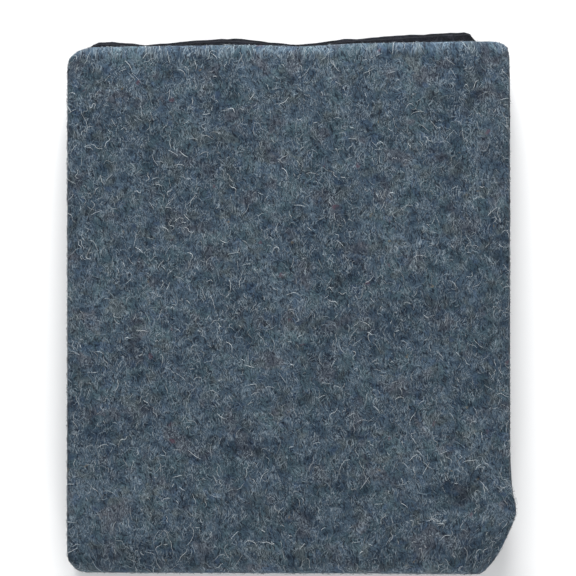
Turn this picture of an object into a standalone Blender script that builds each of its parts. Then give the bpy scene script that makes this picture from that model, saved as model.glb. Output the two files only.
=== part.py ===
"""A moving pad of thick recycled felt, folded for storage and lying on its back.

The pad is one rectangle of cloth. It is folded in half and in half again across its width, which
makes a bundle of four plies, and then the same way along its length, which makes four bundles,
sixteen plies in all. Both foldings follow one kind of route through four levels: from the first cut
edge along the lowest level, up round the outer fold to the highest, back down through the first
fold to the one under it, and through the inner fold, inside the outer one, to the last cut edge.

The cloth is swept as one closed sheet. The width route is carried along the length route, as the
bundle of plies really is, and the result is then settled into the uneven shape of soft cloth.

Units are metres, +Z is up. X runs across the face of the pad and Y along it, and the origin is at the
middle of its underside.
"""

import math
from collections import namedtuple

import bmesh
import bpy
from mathutils import Vector

# The cloth as it was cut.
CUT_WIDTH = 1.727
CUT_LENGTH = 2.159
THICKNESS = 0.0030
PLY_GAP = 0.0005

# The face of the folded pad, over its folds.
FACE_WIDTH = 0.455
FACE_LENGTH = 0.548

# Spacing of the layers: plies in a bundle, and bundles in the pad.
PLY_PITCH = THICKNESS + PLY_GAP
BUNDLE_PITCH = 4 * PLY_PITCH

# How far the inner fold lies back from the outer fold that holds it.
INNER_FOLD_SETBACK = 0.003

# How much further the first edge reaches than the last edge does.
FIRST_EDGE_LEAD = {"width": 0.008, "length": -0.0014}

# Facets: steps in a half turn, steps along the face, places in the margin past the free edges,
# and one more place close to each outer fold and to the free ends.
OUTER_TURN_STEPS = {"width": 6, "length": 8}
INNER_TURN_STEPS = {"width": 4, "length": 5}
FACE_STEPS = {"width": 7, "length": 6}
MARGIN_SHARES = {"width": (0.0, 0.28, 0.55, 0.8), "length": ()}
NEAR_OUTER_FOLD = {"width": 0.018, "length": 0.034}
NEAR_FREE_END = 0.024

# Free edges: each ply slides on the next as the bundle bends, and the ends wander.
PLY_SLIDE = {"first": -1.2, "last": 0.2}
LOOSE_LENGTH = {"end": 0.12, "side": 0.16}
END_WAVE = 0.0025
END_WAVE_LENGTH = 0.168
END_WAVE_CREST_X = -0.070
END_WAVE_TO_X = 0.07
END_SWELL = 0.0053
END_SWELL_FROM_X = 0.03
END_SWELL_TO_X = 0.19
END_TUCK = 0.0120
END_TUCK_TO_X = -0.196
END_LOBE = 0.0019
END_LOBE_X = -0.184
END_LOBE_REACH = 0.020
MARGIN_TUCK = 0.0085
MARGIN_TUCK_FROM_X = 0.1858
MARGIN_TUCK_TO_X = 0.1960
SIDE_WAVE = 0.0025
SIDE_WAVE_LENGTH = 0.31
SIDE_WAVE_PHASE = {"first": 0.0, "last": 1.9}

# The right margin has only half the plies, so it settles down onto itself.
MARGIN_START = 0.198
MARGIN_DROP = 0.0070

# Soft unevenness of the whole pile.
CROWN_WAVE = 0.022
CROWN_WAVE_LENGTH = {"x": 0.50, "y": 0.66}
CROWN_WAVE_PHASE = {"x": 0.6, "y": -0.5}
EDGE_THINNING = 0.045
EDGE_THINNING_REACH = 0.060
BUNDLE_SWAY = 0.0018
SWAY_PER_BUNDLE = 2.4
SWAY_PHASE = 0.7
RIGHT_BULGE = 0.0072
RIGHT_BULGE_Y = -0.204
RIGHT_BULGE_REACH = 0.020
EDGE_SKEW = {"top": 0.0150, "bottom": -0.0045}
TOP_DIP = 0.0024
TOP_DIP_X = 0.012
TOP_DIP_REACH = 0.035
TOP_DIP_DEPTH = 0.080

# Plan corners: which sides meet there, how far away the rounding starts and how far it pulls in.
Corner = namedtuple("Corner", "side_x side_y reach_x reach_y pull_x pull_y")
CORNERS = (
    Corner(-1, 1, 0.030, 0.026, 0.0070, 0.0055),
    Corner(1, 1, 0.022, 0.022, 0.0044, 0.0044),
    Corner(-1, -1, 0.022, 0.022, 0.0044, 0.0044),
    Corner(1, -1, 0.080, 0.062, 0.0320, 0.0),
)

FELT_COLOUR = (0.070, 0.098, 0.130, 1.0)

Station = namedtuple("Station", "along level normal_along normal_level run")


def clear_scene():
    """Remove every object, so the script can be run again."""
    for item in list(bpy.data.objects):
        bpy.data.objects.remove(item, do_unlink=True)


def felt_material():
    """Plain felt: a soft, rough slate blue."""
    material = bpy.data.materials.new("felt")
    material.use_nodes = True
    shader = material.node_tree.nodes["Principled BSDF"]
    shader.inputs["Base Color"].default_value = FELT_COLOUR
    shader.inputs["Roughness"].default_value = 0.95
    shader.inputs["Metallic"].default_value = 0.0
    return material


def smooth_step(start, end, value):
    """Rise softly from 0 at start to 1 at end."""
    share = min(1.0, max(0.0, (value - start) / (end - start)))
    return share * share * (3.0 - 2.0 * share)


def straight_run(stations, run, level, direction, places):
    """Add the flat stations of one ply, which face the left-hand side of the way they go."""
    for along in places:
        stations.append(Station(along, level, 0.0, direction, run))


def half_turn(stations, centre, middle_level, radius, heading, turn, steps):
    """Add the stations inside one fold, between the runs on either side of it.

    heading is +1 or -1 along the face, and turn is +1 to the left and -1 to the right.
    """
    for step in range(1, steps):
        angle = math.pi * step / steps
        across = math.cos(angle)
        out = heading * math.sin(angle)
        along = centre + radius * out
        level = middle_level - heading * turn * radius * across
        normal_along = -turn * out
        normal_level = heading * across
        stations.append(Station(along, level, normal_along, normal_level, "fold"))


def book_fold(axis, face, cut, pitch):
    """The route of cloth folded in half and in half again, as stations from edge to edge."""
    outer_radius = 1.5 * pitch
    inner_radius = 0.5 * pitch
    half_stack = 2.0 * pitch
    left = -face / 2 + half_stack
    right = face / 2 - pitch
    inner_left = left + INNER_FOLD_SETBACK

    turns = math.pi * (outer_radius + 2 * inner_radius)
    edges_total = cut - turns - (right - left) - (right - inner_left)
    mean_edge = (edges_total + left + inner_left) / 2
    first_edge = mean_edge + FIRST_EDGE_LEAD[axis] / 2
    last_edge = mean_edge - FIRST_EDGE_LEAD[axis] / 2

    steps = FACE_STEPS[axis]
    middle = [left + (mean_edge - left) * step / steps for step in range(1, steps)]
    middle.insert(0, left + NEAR_OUTER_FOLD[axis])
    if axis == "length":
        middle.append(mean_edge - NEAR_FREE_END)
    margin_places = [mean_edge + (right - mean_edge) * share for share in MARGIN_SHARES[axis]]

    stations = []
    straight_run(stations, "first", -outer_radius, -1, [first_edge] + middle[::-1] + [left])
    half_turn(stations, left, 0.0, outer_radius, -1, -1, OUTER_TURN_STEPS[axis])
    straight_run(stations, "face", outer_radius, 1, [left] + middle + margin_places + [right])
    half_turn(stations, right, pitch, inner_radius, 1, -1, INNER_TURN_STEPS[axis])
    straight_run(stations, "back", inner_radius, -1,
                 [right] + margin_places[::-1] + middle[::-1] + [inner_left])
    half_turn(stations, inner_left, 0.0, inner_radius, -1, 1, INNER_TURN_STEPS[axis])
    straight_run(stations, "last", -inner_radius, 1, [inner_left] + middle + [last_edge])
    return stations


def loosen_end(x, offset, station):
    """How far a ply's free end slides and wanders along Y."""
    if station.run not in PLY_SLIDE:
        return 0.0
    start = FACE_LENGTH / 2 - LOOSE_LENGTH["end"]
    looseness = smooth_step(start, FACE_LENGTH / 2, station.along)
    slide = PLY_SLIDE[station.run] * offset
    wave = END_WAVE * math.cos(2 * math.pi * (x - END_WAVE_CREST_X) / END_WAVE_LENGTH)
    wave *= 1.0 - smooth_step(0.0, END_WAVE_TO_X, x)
    swell = END_SWELL * smooth_step(END_SWELL_FROM_X, END_SWELL_TO_X, x)
    tuck = END_TUCK * (1.0 - smooth_step(-FACE_WIDTH / 2, END_TUCK_TO_X, x))
    tuck += MARGIN_TUCK * smooth_step(MARGIN_TUCK_FROM_X, MARGIN_TUCK_TO_X, x)
    lobe = END_LOBE * math.exp(-((x - END_LOBE_X) / END_LOBE_REACH) ** 2)
    return looseness * (slide + wave + lobe + swell - tuck)


def loosen_side(y, station):
    """How far a ply's free side edge wanders along X."""
    if station.run not in PLY_SLIDE:
        return 0.0
    looseness = smooth_step(MARGIN_START - LOOSE_LENGTH["side"], MARGIN_START, station.along)
    phase = SIDE_WAVE_PHASE[station.run]
    return looseness * SIDE_WAVE * math.sin(2 * math.pi * y / SIDE_WAVE_LENGTH + phase)


def sway(station):
    """A bundle's own small shift to one side, which changes slowly from level to level."""
    return BUNDLE_SWAY * math.sin(SWAY_PER_BUNDLE * station.level / BUNDLE_PITCH + SWAY_PHASE)


def skew_folds(x, y):
    """How far a point lies along Y because the folds aren't quite square or straight."""
    towards_top = smooth_step(-FACE_LENGTH / 2, FACE_LENGTH / 2, y)
    slope = EDGE_SKEW["bottom"] + (EDGE_SKEW["top"] - EDGE_SKEW["bottom"]) * towards_top
    closeness = (x - TOP_DIP_X) / TOP_DIP_REACH
    near_top = smooth_step(FACE_LENGTH / 2 - TOP_DIP_DEPTH, FACE_LENGTH / 2, y)
    return slope * x - TOP_DIP * math.exp(-closeness * closeness) * near_top


def round_corners(x, y):
    """Draw the plan corners in, most at the point and nothing past their reach."""
    for corner in CORNERS:
        from_side = max(0.0, FACE_WIDTH / 2 - corner.side_x * x) / corner.reach_x
        from_end = max(0.0, FACE_LENGTH / 2 - corner.side_y * y) / corner.reach_y
        if from_side < 1.0 and from_end < 1.0:
            share = ((1.0 - from_side) * (1.0 - from_end)) ** 2
            x -= corner.side_x * corner.pull_x * share
            y -= corner.side_y * corner.pull_y * share
    return x, y


def margin_drop(x, z):
    """How far the right margin has settled.

    Half the plies end before it. They leave one gap between the two lower bundles and another
    between the two upper ones, and both close a little towards the fold.
    """
    level = z / BUNDLE_PITCH
    lower_gap = smooth_step(0.5, 1.5, level)
    upper_gap = smooth_step(2.5, 3.5, level)
    reach = smooth_step(MARGIN_START, FACE_WIDTH / 2, x)
    return 0.5 * MARGIN_DROP * reach * (lower_gap + upper_gap)


def pile_height(x, y):
    """The share of its full height that the pile has at a place on the face."""
    wave_x = math.sin(2 * math.pi * x / CROWN_WAVE_LENGTH["x"] + CROWN_WAVE_PHASE["x"])
    wave_y = math.cos(2 * math.pi * y / CROWN_WAVE_LENGTH["y"] + CROWN_WAVE_PHASE["y"])
    from_left = FACE_WIDTH / 2 + x
    from_top = FACE_LENGTH / 2 - y
    thinning = 2.0 - smooth_step(0.0, EDGE_THINNING_REACH, from_left)
    thinning -= smooth_step(0.0, EDGE_THINNING_REACH, from_top)
    return 1.0 + CROWN_WAVE * wave_x * wave_y - EDGE_THINNING * thinning


def settle(x, y, z):
    """Turn a point of the neat folded pile into one of the settled pile."""
    closeness = (y - RIGHT_BULGE_Y) / RIGHT_BULGE_REACH
    bulge = RIGHT_BULGE * math.exp(-closeness * closeness)
    moved_x = x + bulge * smooth_step(0.0, FACE_WIDTH / 2, x)
    moved_x, moved_y = round_corners(moved_x, y)
    moved_y += skew_folds(x, y)
    moved_z = z * pile_height(x, y) - margin_drop(x, z)
    return moved_x, moved_y, moved_z


def cloth_point(across, along, side):
    """A point on one face of the cloth; side is +1 on its outer face and -1 on its inner."""
    half = side * THICKNESS / 2
    x = across.along + half * across.normal_along
    offset = across.level + half * across.normal_level
    y = along.along + offset * along.normal_along
    z = 2 * BUNDLE_PITCH - PLY_GAP / 2 + along.level + offset * along.normal_level

    x += loosen_side(y, across) + sway(along)
    y += loosen_end(x, offset, along)
    return settle(x, y, z)


def add_quad(mesh, corners, split_first):
    """Two triangles over four corners, split so that stacked plies have the same facets."""
    a, b, c, d = corners
    if split_first:
        mesh.faces.new((a, b, c))
        mesh.faces.new((a, c, d))
    else:
        mesh.faces.new((a, b, d))
        mesh.faces.new((b, c, d))


def cloth_mesh(across_route, along_route):
    """The closed sheet: its outer face, its inner face and the strip round its cut edge."""
    mesh = bmesh.new()
    faces = {}
    for side in (1, -1):
        faces[side] = [
            [mesh.verts.new(cloth_point(across, along, side)) for across in across_route]
            for along in along_route
        ]

    for row in range(len(along_route) - 1):
        for column in range(len(across_route) - 1):
            rightward = across_route[column + 1].along > across_route[column].along
            forward = along_route[row + 1].along > along_route[row].along
            for side in (1, -1):
                grid = faces[side]
                corners = (grid[row][column], grid[row][column + 1],
                           grid[row + 1][column + 1], grid[row + 1][column])
                split_first = rightward == forward
                if side < 0:
                    corners = (corners[0], corners[3], corners[2], corners[1])
                add_quad(mesh, corners, split_first)

    add_edge_strip(mesh, edge_loop(faces[1]), edge_loop(faces[-1]))
    bmesh.ops.recalc_face_normals(mesh, faces=mesh.faces)
    return mesh


def edge_loop(grid):
    """The vertices round the rim of a grid, in order."""
    first_row = grid[0]
    last_row = grid[-1]
    right_side = [row[-1] for row in grid[1:-1]]
    left_side = [row[0] for row in grid[1:-1]]
    return first_row + right_side + last_row[::-1] + left_side[::-1]


def add_edge_strip(mesh, outer, inner):
    """Join the rims of the two faces of the cloth."""
    count = len(outer)
    for index in range(count):
        following = (index + 1) % count
        add_quad(mesh, (outer[index], inner[index], inner[following], outer[following]), True)


def rest_on_origin(mesh):
    """Put the middle of the pad's underside at the origin."""
    xs = [vertex.co.x for vertex in mesh.verts]
    ys = [vertex.co.y for vertex in mesh.verts]
    zs = [vertex.co.z for vertex in mesh.verts]
    origin = Vector(((min(xs) + max(xs)) / 2, (min(ys) + max(ys)) / 2, min(zs)))
    bmesh.ops.translate(mesh, vec=-origin, verts=mesh.verts)


def make_pad():
    """The folded pad, one piece of cloth."""
    across_route = book_fold("width", FACE_WIDTH, CUT_WIDTH, PLY_PITCH)
    along_route = book_fold("length", FACE_LENGTH, CUT_LENGTH, BUNDLE_PITCH)
    mesh = cloth_mesh(across_route, along_route)
    rest_on_origin(mesh)

    data = bpy.data.meshes.new("pad")
    mesh.to_mesh(data)
    mesh.free()
    data.shade_smooth()
    data.set_sharp_from_angle(angle=math.radians(50))
    pad = bpy.data.objects.new("pad", data)
    pad.data.materials.append(felt_material())
    bpy.context.scene.collection.objects.link(pad)
    return pad


clear_scene()
make_pad()
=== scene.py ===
"""Looks of the folded moving pad: thick needle-punched felt of recycled denim, seen from above.

The cloth is one sheet, folded in quarters across its width and again along its length. It follows the
same two fold routes as the solid that it replaces, at a finer scale, with the felt's lumps, creases
and ragged cut edges, and with the loose threads and fuzz that lie on it as meshes of their own.

Units are metres. X runs across the face, Y along it, and +Z is up out of it.
"""
import math
from collections import namedtuple

import bpy
import numpy as np
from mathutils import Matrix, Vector, noise


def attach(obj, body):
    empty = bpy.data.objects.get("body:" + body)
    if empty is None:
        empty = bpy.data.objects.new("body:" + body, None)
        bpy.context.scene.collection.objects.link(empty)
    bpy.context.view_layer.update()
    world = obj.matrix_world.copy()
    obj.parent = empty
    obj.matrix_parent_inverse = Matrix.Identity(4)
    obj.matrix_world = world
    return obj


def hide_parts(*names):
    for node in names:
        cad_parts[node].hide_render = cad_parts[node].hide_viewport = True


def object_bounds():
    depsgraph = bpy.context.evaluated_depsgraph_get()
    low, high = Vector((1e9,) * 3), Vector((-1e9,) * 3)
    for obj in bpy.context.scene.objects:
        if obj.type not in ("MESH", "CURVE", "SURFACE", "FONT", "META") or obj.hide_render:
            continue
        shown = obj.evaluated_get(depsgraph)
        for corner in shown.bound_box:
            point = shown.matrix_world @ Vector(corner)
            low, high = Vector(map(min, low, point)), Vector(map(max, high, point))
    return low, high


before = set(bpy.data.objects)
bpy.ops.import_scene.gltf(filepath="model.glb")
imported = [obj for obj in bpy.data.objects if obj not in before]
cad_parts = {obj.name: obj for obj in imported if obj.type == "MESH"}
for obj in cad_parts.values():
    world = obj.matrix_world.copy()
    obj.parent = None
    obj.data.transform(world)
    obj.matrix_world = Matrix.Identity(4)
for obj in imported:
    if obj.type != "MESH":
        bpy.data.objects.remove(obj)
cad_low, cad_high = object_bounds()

# The cloth as it was cut, and the face of the folded pad over its folds.
CUT_WIDTH = 1.727
CUT_LENGTH = 2.159
THICKNESS = 0.0030
PLY_GAP = 0.0005
FACE_WIDTH = 0.455
FACE_LENGTH = 0.548
PLY_PITCH = THICKNESS + PLY_GAP
BUNDLE_PITCH = 4 * PLY_PITCH
PILE_HEIGHT = 4 * BUNDLE_PITCH - PLY_GAP
INNER_FOLD_SETBACK = 0.003
FIRST_EDGE_LEAD = {"width": 0.008, "length": -0.0014}

# Free edges: each ply slides on the next as the bundle bends, and the ends wander.
PLY_SLIDE = {"first": -1.2, "last": 0.2}
LOOSE_LENGTH = {"end": 0.12, "side": 0.16}
END_WAVE = 0.0025
END_WAVE_LENGTH = 0.168
END_WAVE_CREST_X = -0.070
END_WAVE_TO_X = 0.07
END_SWELL = 0.0053
END_SWELL_FROM_X = 0.03
END_SWELL_TO_X = 0.19
END_TUCK = 0.0120
END_TUCK_TO_X = -0.196
END_LOBE = 0.0019
END_LOBE_X = -0.184
END_LOBE_REACH = 0.020
MARGIN_TUCK = 0.0085
MARGIN_TUCK_FROM_X = 0.1858
MARGIN_TUCK_TO_X = 0.1960
SIDE_WAVE = 0.0025
SIDE_WAVE_LENGTH = 0.31
SIDE_WAVE_PHASE = {"first": 0.0, "last": 1.9}
RAGGED_EDGE = 0.0011
RAGGED_REACH = 0.006
RAGGED_SCALE = 90.0

# The right margin has only half the plies, so it settles down onto itself.
MARGIN_START = 0.198
MARGIN_DROP = 0.0070

# Soft unevenness of the whole pile.
CROWN_WAVE = 0.022
CROWN_WAVE_LENGTH = {"x": 0.50, "y": 0.66}
CROWN_WAVE_PHASE = {"x": 0.6, "y": -0.5}
EDGE_THINNING = 0.045
EDGE_THINNING_REACH = 0.060
BUNDLE_SWAY = 0.0018
SWAY_PER_BUNDLE = 2.4
SWAY_PHASE = 0.7
RIGHT_BULGE = 0.0072
RIGHT_BULGE_Y = -0.204
RIGHT_BULGE_REACH = 0.020
EDGE_SKEW = {"top": 0.0150, "bottom": -0.0045}
TOP_DIP = 0.0024
TOP_DIP_X = 0.012
TOP_DIP_REACH = 0.035
TOP_DIP_DEPTH = 0.080

# Plan corners: which sides meet there, how far away the rounding starts and how far it pulls in.
Corner = namedtuple("Corner", "side_x side_y reach_x reach_y pull_x pull_y")
CORNERS = (
    Corner(-1, 1, 0.030, 0.026, 0.0070, 0.0055),
    Corner(1, 1, 0.022, 0.022, 0.0044, 0.0044),
    Corner(-1, -1, 0.022, 0.022, 0.0044, 0.0044),
    Corner(1, -1, 0.080, 0.062, 0.0320, 0.0),
)

# Soft creases in the face: middle, direction in degrees, half length, half width and depth.
Crease = namedtuple("Crease", "x y angle length width depth")
CREASES = (
    Crease(0.180, -0.187, 37, 0.022, 0.0066, 0.0056),
    Crease(0.170, -0.171, 39, 0.026, 0.0110, -0.0026),
    Crease(-0.150, 0.120, 82, 0.160, 0.030, 0.0012),
    Crease(0.060, 0.170, 12, 0.120, 0.026, 0.0011),
    Crease(-0.060, -0.190, 5, 0.140, 0.028, -0.0011),
    Crease(0.120, -0.020, 96, 0.140, 0.034, -0.0010),
)

# Steps of the mesh along each stretch of a route.
WIDTH_STEPS = {"first": 58, "outer": 12, "face": 92, "fold": 10, "back": 20, "inner": 6, "last": 20}
LENGTH_STEPS = {"first": 24, "outer": 26, "face": 98, "fold": 18, "back": 16, "inner": 8, "last": 18}
# Stations crowd towards both ends of the face, where its corners turn.
STATION_CROWDING = 0.45
RIM_TUCK = 0.0010

# The felt's relief is pressed into the cloth, so plies that lie close never meet.
LUMP_DEPTH = 0.0008
LUMP_SCALES = ((70.0, 0.55), (170.0, 0.45))

SEED = 20

Stretch = namedtuple("Stretch", "name begin length heading start level radius turn")
Place = namedtuple("Place", "along level normal_along normal_level run")


# Colours.

def srgb(red, green, blue):
    """A colour given in 0 to 255 as a picture shows it, for a shader."""
    def linear(value):
        value /= 255
        return value / 12.92 if value <= 0.04045 else ((value + 0.055) / 1.055) ** 2.4
    return (linear(red), linear(green), linear(blue), 1.0)


SLATE = srgb(57, 73, 87)
TEAL_GREY = srgb(57, 75, 85)
PLUM_GREY = srgb(64, 71, 81)
DENIM = srgb(55, 72, 90)
OLIVE_GREY = srgb(62, 73, 79)
DARK_FIBRE = srgb(9, 17, 30)
PALE_FIBRE = srgb(148, 161, 170)
RED_SPECK = srgb(80, 57, 69)
TAN_SPECK = srgb(110, 101, 84)
BLUE_SPECK = srgb(48, 65, 88)
WHITE_SPECK = srgb(186, 196, 202)
THREAD_PALE = srgb(204, 212, 216)
THREAD_FINE = srgb(136, 150, 160)
THREAD_DARK = srgb(27, 36, 50)
FUZZ = srgb(100, 114, 124)
FLOOR = srgb(247, 247, 247)


# Routes of the cloth.

def book_fold(axis, face, cut, pitch):
    """The stretches of cloth folded in half and in half again, from cut edge to cut edge."""
    outer_radius = 1.5 * pitch
    inner_radius = 0.5 * pitch
    left = -face / 2 + 2 * pitch
    right = face / 2 - pitch
    inner_left = left + INNER_FOLD_SETBACK
    turns = math.pi * (outer_radius + 2 * inner_radius)
    edges_total = cut - turns - (right - left) - (right - inner_left)
    mean_edge = (edges_total + left + inner_left) / 2
    first_edge = mean_edge + FIRST_EDGE_LEAD[axis] / 2
    last_edge = mean_edge - FIRST_EDGE_LEAD[axis] / 2

    plan = (
        ("first", -1, first_edge, left, -outer_radius, 0.0, 0),
        ("outer", -1, left, left, 0.0, outer_radius, -1),
        ("face", 1, left, right, outer_radius, 0.0, 0),
        ("fold", 1, right, right, pitch, inner_radius, -1),
        ("back", -1, right, inner_left, inner_radius, 0.0, 0),
        ("inner", -1, inner_left, inner_left, 0.0, inner_radius, 1),
        ("last", 1, inner_left, last_edge, -inner_radius, 0.0, 0),
    )
    stretches = []
    begin = 0.0
    for name, heading, start, end, level, radius, turn in plan:
        length = math.pi * radius if turn else abs(end - start)
        stretches.append(Stretch(name, begin, length, heading, start, level, radius, turn))
        begin += length
    return stretches


WIDTH_ROUTE = book_fold("width", FACE_WIDTH, CUT_WIDTH, PLY_PITCH)
LENGTH_ROUTE = book_fold("length", FACE_LENGTH, CUT_LENGTH, BUNDLE_PITCH)


def stretch_of(route, name):
    """One stretch of a route by its name."""
    return next(stretch for stretch in route if stretch.name == name)


def places_on(route, distance):
    """Where points at these distances along a route lie, and which way the cloth faces there."""
    along = np.zeros_like(distance)
    level = np.zeros_like(distance)
    normal_along = np.zeros_like(distance)
    normal_level = np.zeros_like(distance)
    run = {"first": np.zeros(distance.shape, bool), "last": np.zeros(distance.shape, bool)}
    for index, part in enumerate(route):
        inside = np.ones(distance.shape, bool)
        if index > 0:
            inside &= distance >= part.begin
        if index < len(route) - 1:
            inside &= distance < part.begin + part.length
        gone = distance[inside] - part.begin
        if part.turn:
            angle = gone / part.radius
            out = part.heading * np.sin(angle)
            across = np.cos(angle)
            along[inside] = part.start + part.radius * out
            level[inside] = part.level - part.heading * part.turn * part.radius * across
            normal_along[inside] = -part.turn * out
            normal_level[inside] = part.heading * across
        else:
            along[inside] = part.start + part.heading * gone
            level[inside] = part.level
            normal_level[inside] = part.heading
        if part.name in run:
            run[part.name] |= inside
    return Place(along, level, normal_along, normal_level, run)


# The settled shape of the pile.

def smooth_step(start, end, value):
    """Rise softly from 0 at start to 1 at end."""
    share = np.clip((value - start) / (end - start), 0.0, 1.0)
    return share * share * (3.0 - 2.0 * share)


def loosen_end(x, offset, place):
    """How far a ply's free end slides and wanders along Y."""
    start = FACE_LENGTH / 2 - LOOSE_LENGTH["end"]
    looseness = smooth_step(start, FACE_LENGTH / 2, place.along)
    wave = END_WAVE * np.cos(2 * math.pi * (x - END_WAVE_CREST_X) / END_WAVE_LENGTH)
    wave *= 1.0 - smooth_step(0.0, END_WAVE_TO_X, x)
    swell = END_SWELL * smooth_step(END_SWELL_FROM_X, END_SWELL_TO_X, x)
    tuck = END_TUCK * (1.0 - smooth_step(-FACE_WIDTH / 2, END_TUCK_TO_X, x))
    tuck += MARGIN_TUCK * smooth_step(MARGIN_TUCK_FROM_X, MARGIN_TUCK_TO_X, x)
    lobe = END_LOBE * np.exp(-((x - END_LOBE_X) / END_LOBE_REACH) ** 2)
    shift = np.zeros_like(x)
    for run, slide in PLY_SLIDE.items():
        shift += place.run[run] * looseness * (slide * offset + wave + lobe + swell - tuck)
    return shift


def loosen_side(y, place):
    """How far a ply's free side edge wanders along X."""
    looseness = smooth_step(MARGIN_START - LOOSE_LENGTH["side"], MARGIN_START, place.along)
    shift = np.zeros_like(y)
    for run, phase in SIDE_WAVE_PHASE.items():
        wave = SIDE_WAVE * np.sin(2 * math.pi * y / SIDE_WAVE_LENGTH + phase)
        shift += place.run[run] * looseness * wave
    return shift


def skew_folds(x, y):
    """How far points lie along Y because the folds aren't quite square or straight."""
    towards_top = smooth_step(-FACE_LENGTH / 2, FACE_LENGTH / 2, y)
    slope = EDGE_SKEW["bottom"] + (EDGE_SKEW["top"] - EDGE_SKEW["bottom"]) * towards_top
    closeness = (x - TOP_DIP_X) / TOP_DIP_REACH
    near_top = smooth_step(FACE_LENGTH / 2 - TOP_DIP_DEPTH, FACE_LENGTH / 2, y)
    return slope * x - TOP_DIP * np.exp(-closeness * closeness) * near_top


def round_corners(x, y):
    """Draw the plan corners in, most at the point and nothing past their reach."""
    for corner in CORNERS:
        from_side = np.clip((FACE_WIDTH / 2 - corner.side_x * x) / corner.reach_x, 0.0, 1.0)
        from_end = np.clip((FACE_LENGTH / 2 - corner.side_y * y) / corner.reach_y, 0.0, 1.0)
        share = ((1.0 - from_side) * (1.0 - from_end)) ** 2
        x = x - corner.side_x * corner.pull_x * share
        y = y - corner.side_y * corner.pull_y * share
    return x, y


def margin_drop(x, z):
    """How far the right margin has settled as the gaps of the missing plies close."""
    level = z / BUNDLE_PITCH
    gaps = smooth_step(0.5, 1.5, level) + smooth_step(2.5, 3.5, level)
    return 0.5 * MARGIN_DROP * smooth_step(MARGIN_START, FACE_WIDTH / 2, x) * gaps


def crease_depth(x, y):
    """The depth of the creases in the top face."""
    depth = np.zeros_like(x)
    for crease in CREASES:
        angle = math.radians(crease.angle)
        run = (x - crease.x) * math.cos(angle) + (y - crease.y) * math.sin(angle)
        side = (y - crease.y) * math.cos(angle) - (x - crease.x) * math.sin(angle)
        depth += crease.depth * np.exp(-(run / crease.length) ** 2 - (side / crease.width) ** 2)
    return depth


def pile_share(x, y):
    """The share of its full height that the pile has at a place on the face."""
    wave_x = np.sin(2 * math.pi * x / CROWN_WAVE_LENGTH["x"] + CROWN_WAVE_PHASE["x"])
    wave_y = np.cos(2 * math.pi * y / CROWN_WAVE_LENGTH["y"] + CROWN_WAVE_PHASE["y"])
    thinning = 2.0 - smooth_step(0.0, EDGE_THINNING_REACH, FACE_WIDTH / 2 + x)
    thinning -= smooth_step(0.0, EDGE_THINNING_REACH, FACE_LENGTH / 2 - y)
    creases = crease_depth(x, y) / PILE_HEIGHT
    return 1.0 + CROWN_WAVE * wave_x * wave_y - EDGE_THINNING * thinning - creases


def settle(x, y, z):
    """Turn points of the neat folded pile into those of the settled pile."""
    closeness = (y - RIGHT_BULGE_Y) / RIGHT_BULGE_REACH
    bulge = RIGHT_BULGE * np.exp(-closeness * closeness)
    moved_x, moved_y = round_corners(x + bulge * smooth_step(0.0, FACE_WIDTH / 2, x), y)
    moved_y = moved_y + skew_folds(x, y)
    return moved_x, moved_y, z * pile_share(x, y) - margin_drop(x, z)


def cloth_points(across, along, side, lift):
    """Points on the cloth at distances across and along it, as it was cut.

    side is +1 on the outer face, -1 on the inner and 0 between them, and lift is how far a point
    stands out of its face.
    """
    width_place = places_on(WIDTH_ROUTE, across)
    length_place = places_on(LENGTH_ROUTE, along)
    out = side * (THICKNESS / 2 + lift)
    x = width_place.along + out * width_place.normal_along
    offset = width_place.level + out * width_place.normal_level
    y = length_place.along + offset * length_place.normal_along
    z = PILE_HEIGHT / 2 + length_place.level + offset * length_place.normal_level
    sway = SWAY_PER_BUNDLE * length_place.level / BUNDLE_PITCH + SWAY_PHASE
    x = x + loosen_side(y, width_place) + BUNDLE_SWAY * np.sin(sway)
    y = y + loosen_end(x, offset, length_place)
    return np.stack(settle(x, y, z), axis=-1)


# Where the cloth's colours are baked: its outer face has most of the map, and the plies that show most
# have more of it than those inside the pile.
BAKE_MAP = "OFBake"
OUTER_FACE_SHARE = 0.86
MAP_GAP = 0.004
SHOWN_WEIGHT = {"outer": 1.0, "face": 1.0, "fold": 1.0, "back": 0.12, "inner": 0.12, "last": 0.12}
WIDTH_WEIGHT = dict(SHOWN_WEIGHT, first=0.12)
LENGTH_WEIGHT = dict(SHOWN_WEIGHT, first=0.26)
CUT_BAND = 0.015


def map_share(route, weights, distance):
    """How far across its map a place on the cloth lies, from 0 to 1."""
    ends = [-2 * RIM_TUCK, CUT_BAND]
    widths = [0.0, 2 * RIM_TUCK + CUT_BAND]
    for part in route:
        begin = max(part.begin, CUT_BAND)
        end = min(part.begin + part.length, route[-1].begin + route[-1].length - CUT_BAND)
        ends.append(end)
        widths.append(weights[part.name] * (end - begin))
    ends.append(route[-1].begin + route[-1].length + 2 * RIM_TUCK)
    widths.append(2 * RIM_TUCK + CUT_BAND)
    reached = np.cumsum(widths)
    return np.interp(distance, ends, reached / reached[-1])


def cloth_map(across, along, outer):
    """Where corners of the cloth's faces lie on the map, with its inner face beside its outer one."""
    share = map_share(WIDTH_ROUTE, WIDTH_WEIGHT, across)
    split = OUTER_FACE_SHARE
    on_outer = MAP_GAP + share * (split - 2 * MAP_GAP)
    on_inner = 1.0 - MAP_GAP - share * (1.0 - split - 2 * MAP_GAP)
    up = MAP_GAP + map_share(LENGTH_ROUTE, LENGTH_WEIGHT, along) * (1.0 - 2 * MAP_GAP)
    return np.stack([np.where(outer, on_outer, on_inner), up], axis=1)


def add_bake_map(mesh, places):
    """Give each corner of a mesh's faces its place on the map."""
    layer = mesh.uv_layers.new(name=BAKE_MAP)
    layer.data.foreach_set("uv", np.asarray(places, np.float32).ravel())


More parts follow.
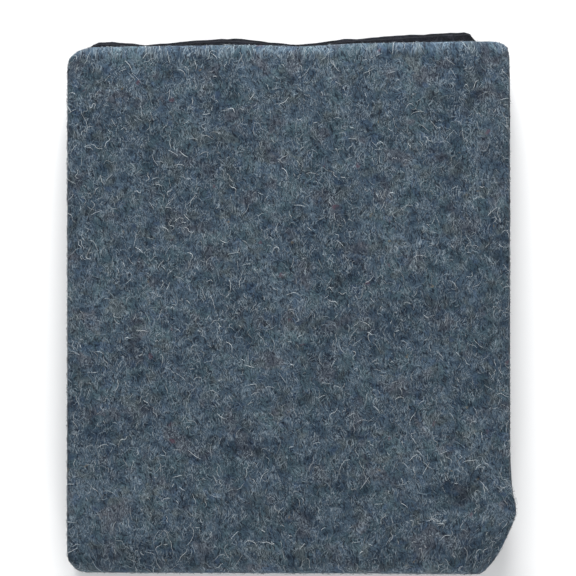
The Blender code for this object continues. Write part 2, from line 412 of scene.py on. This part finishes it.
def corner_points(mesh):
    """The index of the point at each corner of a mesh's faces, in order."""
    points = np.empty(len(mesh.loops), np.int32)
    mesh.loops.foreach_get("vertex_index", points)
    return points


# The mesh of the cloth.

def route_steps(route, steps):
    """Distances of the mesh's stations along a route, closer together where it is seen."""
    distances = []
    for part in route:
        shares = np.arange(steps[part.name]) / steps[part.name]
        if part.name == "face":
            shares = shares - STATION_CROWDING * np.sin(2 * math.pi * shares) / (2 * math.pi)
        distances.extend(part.begin + part.length * shares)
    distances.append(route[-1].begin + route[-1].length)
    distances[0] += RIM_TUCK
    distances[-1] -= RIM_TUCK
    return np.array(distances)


def lumps(points):
    """How deep the needled felt is pressed in at each point, from 0 to LUMP_DEPTH."""
    depth = np.zeros(len(points))
    for index, point in enumerate(points):
        spot = Vector(point)
        for scale, share in LUMP_SCALES:
            depth[index] += share * (0.5 + 0.5 * noise.noise(spot * scale))
    return LUMP_DEPTH * np.clip(depth, 0.0, 1.0)


def ragged(points, seed):
    """A small uneven amount for each point of a cut edge."""
    offset = Vector((seed, 0.0, 0.0))
    return np.array([noise.noise(Vector(point) * RAGGED_SCALE + offset) for point in points])


def cloth_faces(rows, columns, flip, first):
    """Quads of one face of the cloth, as indices into its grid of points."""
    row, column = np.meshgrid(np.arange(rows - 1), np.arange(columns - 1), indexing="ij")
    corner = (first + row * columns + column).ravel()
    quads = np.stack([corner, corner + 1, corner + columns + 1, corner + columns], axis=1)
    return quads[:, ::-1] if flip else quads


def rim_indices(rows, columns, first):
    """The grid's points round its rim, in order."""
    grid = first + np.arange(rows * columns).reshape(rows, columns)
    return np.concatenate([grid[0], grid[1:-1, -1], grid[-1, ::-1], grid[1:-1, 0][::-1]])


def make_cloth():
    """The whole folded sheet: its two faces and the worn edge between them."""
    across = route_steps(WIDTH_ROUTE, WIDTH_STEPS)
    along = route_steps(LENGTH_ROUTE, LENGTH_STEPS)
    rows, columns = len(along), len(across)
    across_grid, along_grid = np.meshgrid(across, along)
    across_grid, along_grid = across_grid.ravel(), along_grid.ravel()

    faces_points = []
    for side in (1, -1):
        smooth = cloth_points(across_grid, along_grid, side, 0.0)
        faces_points.append(cloth_points(across_grid, along_grid, side, -lumps(smooth)))

    count = rows * columns
    rim = rim_indices(rows, columns, 0)
    edge_across = across_grid[rim].copy()
    edge_along = along_grid[rim].copy()
    on_side = (edge_across <= across[0]) | (edge_across >= across[-1])
    on_end = (edge_along <= along[0]) | (edge_along >= along[-1])
    edge_across += on_side * RIM_TUCK * np.sign(edge_across - CUT_WIDTH / 2)
    edge_along += on_end * RIM_TUCK * np.sign(edge_along - CUT_LENGTH / 2)
    faces_points.append(cloth_points(edge_across, edge_along, 0, 0.0))

    quads = [
        cloth_faces(rows, columns, False, 0),
        cloth_faces(rows, columns, True, count),
    ]
    middle = 2 * count + np.arange(len(rim))
    for upper, lower in ((rim, middle), (middle, rim + count)):
        quads.append(np.stack([upper, lower, np.roll(lower, -1), np.roll(upper, -1)], axis=1))

    points = np.concatenate(faces_points)
    cloth = mesh_piece("pad_cloth", points, np.concatenate(quads), felt_material())
    across_all = np.concatenate([across_grid, across_grid, edge_across])
    along_all = np.concatenate([along_grid, along_grid, edge_along])
    fray_edges(cloth, across_all, along_all)

    depth = np.repeat((THICKNESS / 2, -THICKNESS / 2, 0.0), (count, count, len(rim)))
    flat = np.stack([across_all, along_all, depth], axis=1)
    add_attribute(cloth.data, "flat_place", "FLOAT_VECTOR", "vector", flat)
    add_attribute(cloth.data, "from_end", "FLOAT", "value", np.minimum(along_all, CUT_LENGTH - along_all))
    on_outer = np.concatenate([np.full(len(part), index % 2 == 0) for index, part in enumerate(quads)])
    corner = corner_points(cloth.data)
    add_bake_map(cloth.data, cloth_map(across_all[corner], along_all[corner], np.repeat(on_outer, 4)))
    return cloth


def fray_edges(cloth, across, along):
    """Make the cut edges a little ragged."""
    mesh = cloth.data
    points = vertex_points(mesh)
    to_end = np.minimum(along, CUT_LENGTH - along)
    to_side = np.minimum(across, CUT_WIDTH - across)
    for axis, distance, seed in ((1, to_end, 3.0), (0, to_side, 8.0)):
        near = np.nonzero(distance < 3 * RAGGED_REACH)[0]
        fade = np.exp(-(distance[near] / RAGGED_REACH) ** 2)
        points[near, axis] += RAGGED_EDGE * fade * ragged(points[near], seed)
    mesh.vertices.foreach_set("co", points.ravel())
    mesh.update()


# Pieces.

def mesh_piece(name, points, faces, material):
    """A smooth mesh object of these points and faces."""
    mesh = bpy.data.meshes.new(name)
    mesh.from_pydata(points.tolist(), [], faces.tolist())
    mesh.materials.append(material)
    mesh.shade_smooth()
    piece = bpy.data.objects.new(name, mesh)
    bpy.context.scene.collection.objects.link(piece)
    return piece


def add_attribute(mesh, name, kind, field, values):
    """Give each point of a mesh a value or vector that its material can read."""
    attribute = mesh.attributes.new(name, kind, "POINT")
    attribute.data.foreach_set(field, np.asarray(values, np.float32).ravel())


def vertex_points(mesh):
    """The mesh's points as an array."""
    points = np.empty(len(mesh.vertices) * 3, np.float32)
    mesh.vertices.foreach_get("co", points)
    return points.reshape(-1, 3).astype(float)


def pile_origin(cloth):
    """What moves the pile's underside onto the middle of the frame."""
    points = vertex_points(cloth.data)
    low, high = points.min(axis=0), points.max(axis=0)
    target = (np.array(cad_low) + np.array(cad_high)) / 2
    return np.array([target[0] - (low[0] + high[0]) / 2, target[1] - (low[1] + high[1]) / 2, -low[2]])


def shift_piece(piece, move):
    """Move the points of a piece, and keep its origin."""
    points = vertex_points(piece.data) + move
    points[:, 2] = np.maximum(points[:, 2], 0.0)
    piece.data.vertices.foreach_set("co", points.ravel())
    piece.data.update()


# Threads and fuzz that lie on the felt.

TUBE_SIDES = 3
TINY = 1e-12


def tube_faces(strands, stations, sides):
    """Faces of many closed tubes whose points are numbered strand, station, side."""
    strand, station, side = np.meshgrid(
        np.arange(strands), np.arange(stations - 1), np.arange(sides), indexing="ij"
    )
    base = strand * stations * sides + station * sides
    here = (base + side).ravel()
    beside = (base + (side + 1) % sides).ravel()
    walls = np.stack([here, beside, beside + sides, here + sides], axis=1)
    start = np.arange(strands)[:, None] * stations * sides + np.arange(sides)
    end = start + (stations - 1) * sides
    return walls.tolist() + start[:, ::-1].tolist() + end.tolist()


def tubes(name, paths, radii, tones, material):
    """One mesh of thin tubes along paths, an array of strand, station and X, Y, Z."""
    strands, stations, _ = paths.shape
    tangent = np.gradient(paths, axis=1)
    tangent /= np.linalg.norm(tangent, axis=2, keepdims=True) + TINY
    helper = np.zeros_like(tangent)
    helper[..., 2] = 1.0
    steep = np.abs(tangent[..., 2]) > 0.9
    helper[steep] = (1.0, 0.0, 0.0)
    first = np.cross(tangent, helper)
    first /= np.linalg.norm(first, axis=2, keepdims=True) + TINY
    second = np.cross(tangent, first)
    rings = []
    for corner in range(TUBE_SIDES):
        angle = 2 * math.pi * corner / TUBE_SIDES
        spoke = math.cos(angle) * first + math.sin(angle) * second
        rings.append(paths + spoke * radii[..., None])
    points = np.stack(rings, axis=2).reshape(-1, 3)
    mesh = bpy.data.meshes.new(name)
    mesh.from_pydata(points.tolist(), [], tube_faces(strands, stations, TUBE_SIDES))
    add_attribute(mesh, "tone", "FLOAT", "value", np.repeat(tones, stations * TUBE_SIDES))
    add_bake_map(mesh, strand_map(strands, stations)[corner_points(mesh)])
    mesh.materials.append(material)
    mesh.shade_smooth()
    piece = bpy.data.objects.new(name, mesh)
    bpy.context.scene.collection.objects.link(piece)
    return piece


def strand_map(strands, stations):
    """A small cell of the map for each strand, which has one colour all over.

    A strand keeps clear of its cell's rim, so no colour bleeds in from the next one.
    """
    cells = math.ceil(math.sqrt(strands))
    strand, station, side = np.meshgrid(
        np.arange(strands), np.arange(stations), np.arange(TUBE_SIDES), indexing="ij"
    )
    along = 0.15 + 0.7 * station / (stations - 1)
    round_it = 0.15 + 0.35 * side
    places = np.stack([strand % cells + along, strand // cells + round_it], axis=-1)
    return places.reshape(-1, 2) / cells


def seen_spots(draw, count, zone):
    """Random distances across and along the cloth, in one of the zones that can be seen."""
    outer = stretch_of(WIDTH_ROUTE, "outer")
    fold = stretch_of(WIDTH_ROUTE, "fold")
    if zone == "top":
        begin = stretch_of(LENGTH_ROUTE, "outer").begin
        end = stretch_of(LENGTH_ROUTE, "back").begin
        across = draw.uniform(outer.begin, fold.begin + fold.length, count)
    elif zone == "underside":
        begin = 0.0
        end = stretch_of(LENGTH_ROUTE, "outer").begin
        across = draw.uniform(outer.begin, fold.begin + fold.length, count)
    else:
        begin = 0.0
        end = CUT_LENGTH
        near_left = draw.uniform(outer.begin, outer.begin + outer.length, count)
        near_right = draw.uniform(fold.begin, fold.begin + fold.length, count)
        across = np.where(draw.random(count) < LEFT_SHARE, near_left, near_right)
    return across, draw.uniform(begin, end, count)


def curly_paths(draw, across, along, lengths, curl, stations, lift, arch):
    """Paths of loose threads that lie curled on the outer face of the cloth."""
    count = len(across)
    share = np.linspace(0.0, 1.0, stations)[None, :]
    heading = draw.normal(math.pi / 2, HEADING_SPREAD, count)[:, None]
    bend = draw.normal(0.0, curl, count)[:, None]
    sway = draw.normal(0.0, 0.5, count)[:, None]
    phase = draw.uniform(0, 2 * math.pi, count)[:, None]
    turn = draw.uniform(0.6, 1.6, count)[:, None]
    angle = heading + bend * share + sway * np.sin(2 * math.pi * turn * share + phase)
    step = lengths[:, None] / (stations - 1)
    walk_across = np.cumsum(np.cos(angle) * step, axis=1)
    walk_along = np.cumsum(np.sin(angle) * step, axis=1)
    walk_across -= walk_across.mean(axis=1, keepdims=True)
    walk_along -= walk_along.mean(axis=1, keepdims=True)
    ripple = np.abs(np.sin(math.pi * turn * share + phase))
    height = lift + arch[:, None] * ripple
    return cloth_points(across[:, None] + walk_across, along[:, None] + walk_along, 1, height)


ThreadKind = namedtuple("ThreadKind", "name colour count shortest longest radius curl stations")
THREADS = (
    ThreadKind("threads_pale", THREAD_PALE, 2000, 0.004, 0.016, 0.00017, 0.9, 9),
    ThreadKind("threads_fine", THREAD_FINE, 4600, 0.003, 0.011, 0.00015, 0.7, 7),
    ThreadKind("threads_dark", THREAD_DARK, 3800, 0.003, 0.010, 0.00020, 0.7, 7),
)
# Most threads lie about along the cloth, and most are short.
HEADING_SPREAD = 0.75
SHORT_BIAS = 1.7
THREAD_SIZE = (0.6, 1.35)
# The left side has the larger fold and so more of the threads at the sides.
LEFT_SHARE = 0.6
ZONE_SHARES = {"top": 0.74, "sides": 0.17, "underside": 0.09}
THREAD_ARCH = {"top": 0.0009, "sides": 0.0003, "underside": 0.0005}
FUZZ_COUNT = 9000
FUZZ_LENGTH = (0.0012, 0.0042)
FUZZ_RADIUS = 0.00006
# How far the hairs lean over, in radians, and how deep in the felt they are rooted.
FUZZ_LEAN = (0.80, 1.45)
FUZZ_ROOT = THICKNESS / 8
FUZZ_STATIONS = 4


def make_threads(kind, draw):
    """Loose threads of one colour, scattered over all that can be seen of the cloth."""
    paths = []
    for zone, share in ZONE_SHARES.items():
        count = int(kind.count * share)
        across, along = seen_spots(draw, count, zone)
        spread = draw.random(count) ** SHORT_BIAS
        lengths = kind.shortest + (kind.longest - kind.shortest) * spread
        arch = draw.uniform(0.0, THREAD_ARCH[zone], count)
        paths.append(curly_paths(draw, across, along, lengths, kind.curl, kind.stations, 0.0, arch))
    paths = np.concatenate(paths)
    taper = 0.35 + 0.65 * np.sin(math.pi * np.linspace(0.08, 0.92, kind.stations))
    size = draw.uniform(*THREAD_SIZE, len(paths))
    radii = kind.radius * size[:, None] * taper[None, :]
    material = thread_material(kind.name, kind.colour)
    return tubes(kind.name, paths, radii, draw.random(len(paths)), material)


def make_fuzz(draw):
    """Short fine hairs that stand out of the felt."""
    roots = []
    tips = []
    for zone, share in ZONE_SHARES.items():
        count = int(FUZZ_COUNT * share)
        across, along = seen_spots(draw, count, zone)
        length = draw.uniform(*FUZZ_LENGTH, count)
        lean = draw.uniform(*FUZZ_LEAN, count)
        way = draw.uniform(0, 2 * math.pi, count)
        reach = length * np.sin(lean)
        roots.append((across, along))
        tips.append((across + reach * np.cos(way), along + reach * np.sin(way), length * np.cos(lean)))
    root_across, root_along = (np.concatenate(values)[:, None] for values in zip(*roots))
    tip_across, tip_along, tip_height = (np.concatenate(values)[:, None] for values in zip(*tips))
    share = np.linspace(0.0, 1.0, FUZZ_STATIONS)[None, :]
    across = root_across + (tip_across - root_across) * share
    along = root_along + (tip_along - root_along) * share
    height = tip_height * np.sin(0.5 * math.pi * share) - FUZZ_ROOT * (1.0 - share)
    paths = cloth_points(across, along, 1, height)
    radii = FUZZ_RADIUS * (1.0 - 0.7 * share) * np.ones_like(across)
    return tubes("fuzz", paths, radii, draw.random(len(paths)), thread_material("fuzz", FUZZ))


# Materials.

class Nodes:
    """A short way to add nodes to a material and link them."""

    def __init__(self, name):
        self.material = bpy.data.materials.new(name)
        self.material.use_nodes = True
        self.tree = self.material.node_tree
        self.shader = self.tree.nodes["Principled BSDF"]

    def add(self, kind, inputs=None, **settings):
        """A node of this kind, with its settings and its input values or links."""
        node = self.tree.nodes.new("ShaderNode" + kind)
        for name, value in settings.items():
            setattr(node, name, value)
        for name, value in (inputs or {}).items():
            self.put(node.inputs[name], value)
        return node

    def put(self, socket, value):
        """Link an output to a socket, or set the socket's value."""
        if isinstance(value, bpy.types.NodeSocket):
            self.tree.links.new(value, socket)
        else:
            socket.default_value = value

    def attribute(self, name, output):
        """What the mesh says about each point."""
        return self.add("Attribute", attribute_name=name).outputs[output]

    def noise(self, vector, scale, detail=2.0, rough=0.5, output="Fac"):
        """A noise texture's value or colour."""
        inputs = {"Vector": vector, "Scale": scale, "Detail": detail, "Roughness": rough}
        return self.add("TexNoise", inputs).outputs[output]

    def steps(self, value, low, high):
        """Remap a value so that low is 0 and high is 1, softly."""
        inputs = {"Value": value, "From Min": low, "From Max": high}
        return self.add("MapRange", inputs, interpolation_type="SMOOTHSTEP").outputs["Result"]

    def math(self, operation, first, second=0.0):
        """One step of arithmetic."""
        return self.add("Math", {0: first, 1: second}, operation=operation).outputs[0]

    def about_one(self, value, amount):
        """A factor that swings round 1 as a noise value swings round a half."""
        return self.math("ADD", self.math("MULTIPLY", value, 2 * amount), 1 - amount)

    def mix(self, share, first, second, blend="MIX"):
        """A mix of two colours; the node's sockets go by place, since their names repeat."""
        node = self.add("Mix", data_type="RGBA", blend_type=blend)
        for place, value in ((0, share), (6, first), (7, second)):
            self.put(node.inputs[place], value)
        return node.outputs[2]

    def wander(self, vector, scale, reach):
        """Coordinates that wander about by up to half of reach either way."""
        colour = self.noise(vector, scale, 1.0, output="Color")
        centred = self.add("VectorMath", {0: colour, 1: (0.5, 0.5, 0.5)}, operation="SUBTRACT")
        offset = self.add("VectorMath", {0: centred.outputs[0], "Scale": reach}, operation="SCALE")
        moved = self.add("VectorMath", {0: vector, 1: offset.outputs[0]}, operation="ADD")
        return moved.outputs[0]


# Patches of differently dyed cloth in the felt: colour, scale, and where in the noise they show.
Patch = namedtuple("Patch", "colour scale low high")
PATCHES = (
    Patch(TEAL_GREY, 38.0, 0.46, 0.60),
    Patch(PLUM_GREY, 31.0, 0.55, 0.66),
    Patch(DENIM, 66.0, 0.55, 0.70),
    Patch(OLIVE_GREY, 52.0, 0.54, 0.68),
)

# Matted fibres: direction in degrees, length and width in metres, and where in the noise they show.
FibreKind = namedtuple("FibreKind", "angle length width low high share")
PALE_FIBRES = (
    FibreKind(84, 0.0090, 0.00090, 0.56, 0.69, 0.50),
    FibreKind(118, 0.0075, 0.00085, 0.57, 0.70, 0.46),
    FibreKind(42, 0.0070, 0.00085, 0.58, 0.71, 0.42),
)
DARK_FIBRES = (
    FibreKind(98, 0.0070, 0.00130, 0.52, 0.68, 0.80),
    FibreKind(140, 0.0060, 0.00120, 0.54, 0.70, 0.75),
)

# Specks of other cloth: colour, cells to the metre, size in cells and share of the cells.
SpeckKind = namedtuple("SpeckKind", "colour scale size share")
SPECKS = (
    SpeckKind(DARK_FIBRE, 170.0, 0.34, 0.20),
    SpeckKind(RED_SPECK, 90.0, 0.28, 0.035),
    SpeckKind(TAN_SPECK, 110.0, 0.20, 0.045),
    SpeckKind(BLUE_SPECK, 80.0, 0.36, 0.050),
    SpeckKind(WHITE_SPECK, 150.0, 0.12, 0.045),
)

# Where the felt's noises repeat, in rounds to the metre, and how far four of them swing its shade.
NOISE_SCALES = {"broad": 15.0, "mottle": 60.0, "clump": 70.0, "tuft": 230.0, "grain": 760.0}
SHADE_SWINGS = {"broad": 0.75, "mottle": 0.60, "tuft": 1.15, "grain": 0.90}
# How much tufts, pale fibres and grain stand out of the felt, before the bump's own distance.
RAISED = {"tuft": 0.9, "fibre": 0.5, "grain": 0.35}
BUMP_DISTANCE = 0.0013
BUMP_STRENGTH = 0.8
SPECK_SHARE = 0.6

# Light and dark felt is about equally blue, so red follows the shade most and blue least.
SHADE_POWERS = {"Red": 1.20, "Green": 1.0, "Blue": 0.82}

# Painted shade: the felt's colour is darkened along its two short cut edges, standing in for the shade on
# the free ends that stand past the folds.
END_PAINTED_SHADE_FROM = 0.012
END_PAINTED_SHADE_TO = 0.007
END_PAINTED_SHADE_UNEVENNESS = 0.004
END_PAINTED_SHADE = (0.088, 0.074, 0.090, 1.0)


def felt_material():
    """Needle-punched felt of shredded denim: mottled slate, with specks and matted fibres."""
    nodes = Nodes("felt")
    place = nodes.attribute("flat_place", "Vector")
    curled = nodes.wander(place, 85.0, 0.009)

    colour = SLATE
    for patch in PATCHES:
        spread = nodes.noise(nodes.wander(place, 150.0, 0.010), patch.scale, 2.0)
        colour = nodes.mix(nodes.steps(spread, patch.low, patch.high), colour, patch.colour)

    tuft = nodes.noise(curled, NOISE_SCALES["tuft"], 3.0, 0.62)
    grain = nodes.noise(place, NOISE_SCALES["grain"], 2.0, 0.6)
    mottle = nodes.noise(place, NOISE_SCALES["mottle"], 2.0)
    shade = nodes.about_one(nodes.noise(place, NOISE_SCALES["broad"], 2.0), SHADE_SWINGS["broad"])
    for name, value in (("mottle", mottle), ("tuft", tuft), ("grain", grain)):
        shade = nodes.math("MULTIPLY", shade, nodes.about_one(value, SHADE_SWINGS[name]))
    channels = {name: nodes.math("POWER", shade, power) for name, power in SHADE_POWERS.items()}
    shades = nodes.add("CombineColor", channels).outputs["Color"]
    colour = nodes.mix(1.0, colour, shades, "MULTIPLY")

    clumps = nodes.steps(nodes.noise(place, NOISE_SCALES["clump"], 1.0), 0.34, 0.62)
    raised = nodes.math("MULTIPLY", tuft, RAISED["tuft"])
    for kind in DARK_FIBRES:
        colour = nodes.mix(matted_fibres(nodes, curled, kind), colour, DARK_FIBRE)
    for kind in PALE_FIBRES:
        fibre = nodes.math("MULTIPLY", matted_fibres(nodes, curled, kind), clumps)
        colour = nodes.mix(fibre, colour, PALE_FIBRE)
        raised = nodes.math("ADD", raised, nodes.math("MULTIPLY", fibre, RAISED["fibre"]))
    colour = specks(nodes, curled, colour)

    # Painted shade: darken the colour near the short cut ends, with a slightly uneven boundary.
    uneven = nodes.math("MULTIPLY", tuft, END_PAINTED_SHADE_UNEVENNESS)
    to_end = nodes.math("ADD", nodes.attribute("from_end", "Fac"), uneven)
    shaded_end = nodes.mix(1.0, colour, END_PAINTED_SHADE, "MULTIPLY")
    colour = nodes.mix(nodes.steps(to_end, END_PAINTED_SHADE_FROM, END_PAINTED_SHADE_TO), colour, shaded_end)

    nodes.put(nodes.shader.inputs["Base Color"], colour)
    rough = nodes.math("ADD", nodes.math("MULTIPLY", tuft, 0.2), 0.82)
    nodes.put(nodes.shader.inputs["Roughness"], rough)
    nodes.shader.inputs["Specular IOR Level"].default_value = 0.08
    nodes.shader.inputs["Sheen Weight"].default_value = 0.06
    nodes.shader.inputs["Sheen Roughness"].default_value = 0.55

    height = nodes.math("ADD", raised, nodes.math("MULTIPLY", grain, RAISED["grain"]))
    relief = {"Strength": BUMP_STRENGTH, "Distance": BUMP_DISTANCE, "Height": height}
    nodes.put(nodes.shader.inputs["Normal"], nodes.add("Bump", relief).outputs["Normal"])
    return nodes.material


def matted_fibres(nodes, place, kind):
    """Where fibres that lie roughly one way show, as a share from 0 to kind.share."""
    turn = (0.0, 0.0, math.radians(kind.angle))
    inputs = {"Vector": place, "Rotation": turn, "Scale": (kind.length, kind.width, kind.width)}
    lengthwise = nodes.add("Mapping", inputs, vector_type="TEXTURE").outputs["Vector"]
    line = nodes.steps(nodes.noise(lengthwise, 1.0, 1.0), kind.low, kind.high)
    return nodes.math("MULTIPLY", line, kind.share)


def specks(nodes, place, colour):
    """Small uneven bits of other cloth that were shredded into the felt."""
    uneven = nodes.wander(place, 420.0, 0.006)
    for index, kind in enumerate(SPECKS):
        apart = nodes.add("VectorMath", {0: uneven, 1: (0.37 * index, 0.0, 0.0)}, operation="ADD")
        cells = nodes.add("TexVoronoi", {"Vector": apart.outputs[0], "Scale": kind.scale})
        near = nodes.steps(cells.outputs["Distance"], kind.size, kind.size * 0.4)
        pick = nodes.add("SeparateColor", {"Color": cells.outputs["Color"]}).outputs["Red"]
        chosen = nodes.math("LESS_THAN", pick, kind.share)
        share = nodes.math("MULTIPLY", nodes.math("MULTIPLY", near, chosen), SPECK_SHARE)
        colour = nodes.mix(share, colour, kind.colour)
    return colour


# How dark the darkest thread of a kind is, as a share of its colour.
DARKEST_TONE = 0.40


def thread_material(name, colour):
    """A loose thread of one dye, lighter or darker from thread to thread."""
    nodes = Nodes(name)
    darker = tuple(DARKEST_TONE * value for value in colour[:3]) + (1.0,)
    tone = nodes.attribute("tone", "Fac")
    nodes.put(nodes.shader.inputs["Base Color"], nodes.mix(tone, darker, colour))
    nodes.shader.inputs["Roughness"].default_value = 0.85
    nodes.shader.inputs["Specular IOR Level"].default_value = 0.15
    nodes.shader.inputs["Sheen Weight"].default_value = 0.15
    return nodes.material


def floor_material():
    """A plain pale floor."""
    nodes = Nodes("floor")
    nodes.shader.inputs["Base Color"].default_value = FLOOR
    nodes.shader.inputs["Roughness"].default_value = 0.9
    nodes.shader.inputs["Specular IOR Level"].default_value = 0.1
    return nodes.material


# Stage, light and camera.

PHOTO_SIZE = 576
PIXELS_ACROSS_FACE = 445.5
MIDDLE_IN_PHOTO = (289.8, 309.8)
LENS_MM = 110.0
SENSOR_MM = 36.0
FLOOR_HALF_SIZE = 6.0
FLOOR_LEVEL = -0.0002
WORLD_TINT = (0.95, 0.97, 1.0, 1.0)
WORLD_STRENGTH = 0.36


def make_floor():
    """A large pale floor under the pad."""
    size = FLOOR_HALF_SIZE
    corners = [(-size, -size), (size, -size), (size, size), (-size, size)]
    points = np.array([(x, y, FLOOR_LEVEL) for x, y in corners])
    floor = mesh_piece("floor", points, np.array([[0, 1, 2, 3]]), floor_material())


def make_camera(middle):
    """A camera over the middle of the face, framed as in the photograph."""
    metres_per_pixel = FACE_WIDTH / PIXELS_ACROSS_FACE
    data = bpy.data.cameras.new("camera")
    data.lens = LENS_MM
    data.sensor_width = SENSOR_MM
    height = metres_per_pixel * PHOTO_SIZE * LENS_MM / SENSOR_MM
    camera = bpy.data.objects.new("camera", data)
    camera.location = (
        middle[0] + (PHOTO_SIZE / 2 - MIDDLE_IN_PHOTO[0]) * metres_per_pixel,
        middle[1] + (MIDDLE_IN_PHOTO[1] - PHOTO_SIZE / 2) * metres_per_pixel,
        PILE_HEIGHT + height,
    )
    bpy.context.scene.collection.objects.link(camera)
    bpy.context.scene.camera = camera


LightKind = namedtuple("LightKind", "name place size power")
LIGHTS = (
    LightKind("key", (-0.25, 3.5, 1.20), 2.0, 326.0),
    LightKind("front", (0.40, -3.6, 0.98), 2.0, 100.0),
    LightKind("above", (0.5, -0.3, 2.6), 1.8, 8.0),
)


def make_lights():
    """Plain soft studio light, strongest from beyond the top edge."""
    for kind in LIGHTS:
        data = bpy.data.lights.new(kind.name, "AREA")
        data.size = kind.size
        data.energy = kind.power
        light = bpy.data.objects.new(kind.name, data)
        light.location = kind.place
        light.rotation_mode = "QUATERNION"
        light.rotation_quaternion = (-Vector(kind.place)).to_track_quat("-Z", "Y")
        light.visible_camera = False
        bpy.context.scene.collection.objects.link(light)
    world = bpy.data.worlds.new("world")
    world.use_nodes = True
    background = world.node_tree.nodes["Background"]
    background.inputs["Color"].default_value = WORLD_TINT
    background.inputs["Strength"].default_value = WORLD_STRENGTH
    bpy.context.scene.world = world
    bpy.context.scene.view_settings.view_transform = "Standard"


def main():
    """Build the pad, dress it and set the stage."""
    draw = np.random.default_rng(SEED)
    cloth = make_cloth()
    move = pile_origin(cloth)
    make_camera(move)
    make_floor()
    make_lights()

    loose = [make_threads(kind, draw) for kind in THREADS]
    loose.append(make_fuzz(draw))
    for piece in [cloth] + loose:
        shift_piece(piece, move)
        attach(piece, "root")
    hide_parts("pad")


main()
